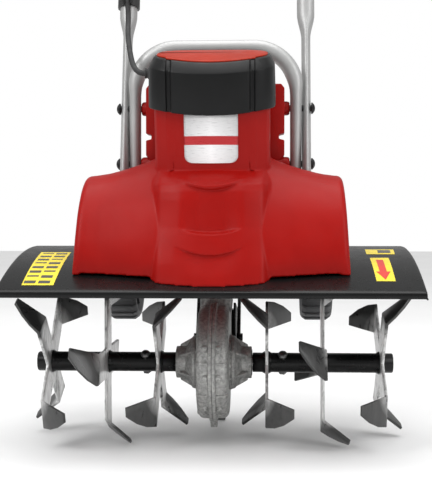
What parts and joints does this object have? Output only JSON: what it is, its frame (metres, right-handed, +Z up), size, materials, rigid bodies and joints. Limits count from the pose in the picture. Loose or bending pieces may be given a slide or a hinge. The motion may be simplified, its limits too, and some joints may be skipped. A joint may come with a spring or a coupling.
{
  "type": "electric tiller",
  "caption": "Walk-behind electric tiller: bent-tine rotor under a sheet guard, tilted motor head in a red housing, folding tube handle with grips and wheels.",
  "frame": {"origin": "bottom centre of the whole machine standing on its tines and drag spur", "axes": "+Z up, +Y towards the operator, +X to the right for someone facing the front of the machine from -Y"},
  "size_m": [0.464, 0.8242, 1.0226],
  "materials": {
    "red_plastic": "moulded red plastic, semi-gloss",
    "black_plastic": "moulded black plastic, fine grain",
    "black_rubber": "matt black rubber",
    "black_sheet": "black powder coat, glossy",
    "cast_aluminium": "rough die-cast aluminium",
    "silver_tube": "silver-grey powder-coated steel tube",
    "tine_steel": "black-lacquered spring steel",
    "bright_steel": "turned steel",
    "black_bolt": "black oxide",
    "bronze": "machined bronze",
    "copper_winding": "enamelled copper on laminated steel",
    "label_film": "silver-white printed film, left blank",
    "grey_wheel": "dark grey moulded wheel"
  },
  "bodies": {
    "chassis": {"tine_guard": "black_sheet", "housing_front": "red_plastic", "housing_rear": "red_plastic", "motor_cap": "black_plastic", "cap_lid": "red_plastic", "label_plate": "label_film", "gearcase_left": "cast_aluminium", "gearcase_right": "cast_aluminium", "bearing_cap_left": "cast_aluminium", "bearing_cap_right": "cast_aluminium", "shaft_bearing_left": "bright_steel", "shaft_bearing_right": "bright_steel", "gear_bracket": "cast_aluminium", "motor_field": "copper_winding", "motor_bearing_lower": "bright_steel", "motor_bearing_upper": "bright_steel", "worm_bearing": "bright_steel", "carry_loop": "silver_tube", "lower_tube_left": "silver_tube", "lower_tube_right": "silver_tube", "handle_bolt_left_lower": "black_bolt", "handle_bolt_left_upper": "black_bolt", "handle_bolt_right_lower": "black_bolt", "handle_bolt_right_upper": "black_bolt", "motor_lead_lower": "black_rubber", "lead_clip": "black_plastic", "rear_bracket": "black_sheet"},
    "tine_rotor": {"tine_star_1": "tine_steel", "tine_star_2": "tine_steel", "tine_star_3": "tine_steel", "tine_star_4": "tine_steel", "tine_star_5": "tine_steel", "tine_star_6": "tine_steel", "tine_tube_left": "black_sheet", "tine_tube_right": "black_sheet", "tine_bolt_left": "black_bolt", "tine_bolt_right": "black_bolt", "output_shaft": "bright_steel", "worm_wheel": "bronze"},
    "worm": {"worm_shaft": "bright_steel", "spur_gear": "bright_steel"},
    "armature": {"motor_armature": "copper_winding", "motor_fan": "black_plastic"},
    "carrier": {"wheel_carrier": "black_sheet"},
    "left_wheel": {"wheel_left": "grey_wheel"},
    "right_wheel": {"wheel_right": "grey_wheel"},
    "spur": {"drag_spur": "tine_steel"},
    "top_handle": {"upper_handle": "silver_tube", "grip_left": "black_rubber", "grip_right": "black_rubber", "fold_bolt_left": "bright_steel", "fold_bolt_right": "bright_steel", "switch_box_outer": "black_plastic", "switch_box_inner": "black_plastic", "mains_inlet": "black_plastic", "motor_lead_upper": "black_rubber"},
    "left_knob": {"fold_knob_left": "black_plastic"},
    "right_knob": {"fold_knob_right": "black_plastic"},
    "trigger": {"trigger_lever": "black_plastic"},
    "lock": {"lock_button": "red_plastic"}
  },
  "joints": [
    {"name": "tine_rotor_spin", "type": "hinge", "parent": "chassis", "child": "tine_rotor", "pos_m": [0, -0.29006, 0.09458], "axis": [1, 0, 0], "continuous": true},
    {"name": "worm_spin", "type": "hinge", "parent": "chassis", "child": "worm", "pos_m": [0, -0.22796, 0.11006], "axis": [0, -0.2419, 0.9703], "continuous": true},
    {"name": "armature_spin", "type": "hinge", "parent": "chassis", "child": "armature", "pos_m": [0, -0.24891, 0.10483], "axis": [0, -0.2419, 0.9703], "continuous": true},
    {"name": "wheel_carrier_swing", "type": "hinge", "parent": "chassis", "child": "carrier", "pos_m": [0, -0.18406, 0.11258], "axis": [1, 0, 0], "range_deg": [-101, 0]},
    {"name": "left_wheel_spin", "type": "hinge", "parent": "carrier", "child": "left_wheel", "pos_m": [-0.1266, -0.13406, 0.19258], "axis": [1, 0, 0], "continuous": true},
    {"name": "right_wheel_spin", "type": "hinge", "parent": "carrier", "child": "right_wheel", "pos_m": [0.1266, -0.13406, 0.19258], "axis": [1, 0, 0], "continuous": true},
    {"name": "drag_spur_slide", "type": "slide", "parent": "chassis", "child": "spur", "axis": [0, 0, 1], "range_m": [0, 0.09]},
    {"name": "handle_fold", "type": "hinge", "parent": "chassis", "child": "top_handle", "pos_m": [0, 0.00084, 0.78028], "axis": [1, 0, 0], "range_deg": [0, 150]},
    {"name": "left_knob_turn", "type": "hinge", "parent": "top_handle", "child": "left_knob", "pos_m": [-0.12, 0.00084, 0.78028], "axis": [1, 0, 0], "continuous": true},
    {"name": "right_knob_turn", "type": "hinge", "parent": "top_handle", "child": "right_knob", "pos_m": [0.12, 0.00084, 0.78028], "axis": [1, 0, 0], "continuous": true},
    {"name": "trigger_squeeze", "type": "hinge", "parent": "top_handle", "child": "trigger", "pos_m": [-0.118, 0.29594, 0.97458], "axis": [1, 0, 0], "range_deg": [0, 12], "stiffness_Nm_per_rad": 1.2, "springref_deg": -20.05},
    {"name": "lock_button_press", "type": "slide", "parent": "top_handle", "child": "lock", "axis": [0, 0, -1], "range_m": [0, 0.0035], "stiffness_N_per_m": 700, "springref_m": -0.002}
  ],
  "couplings": [
    {"joint": "worm_spin", "follows": "tine_rotor_spin", "ratio": -15},
    {"joint": "armature_spin", "follows": "tine_rotor_spin", "ratio": 45}
  ]
}
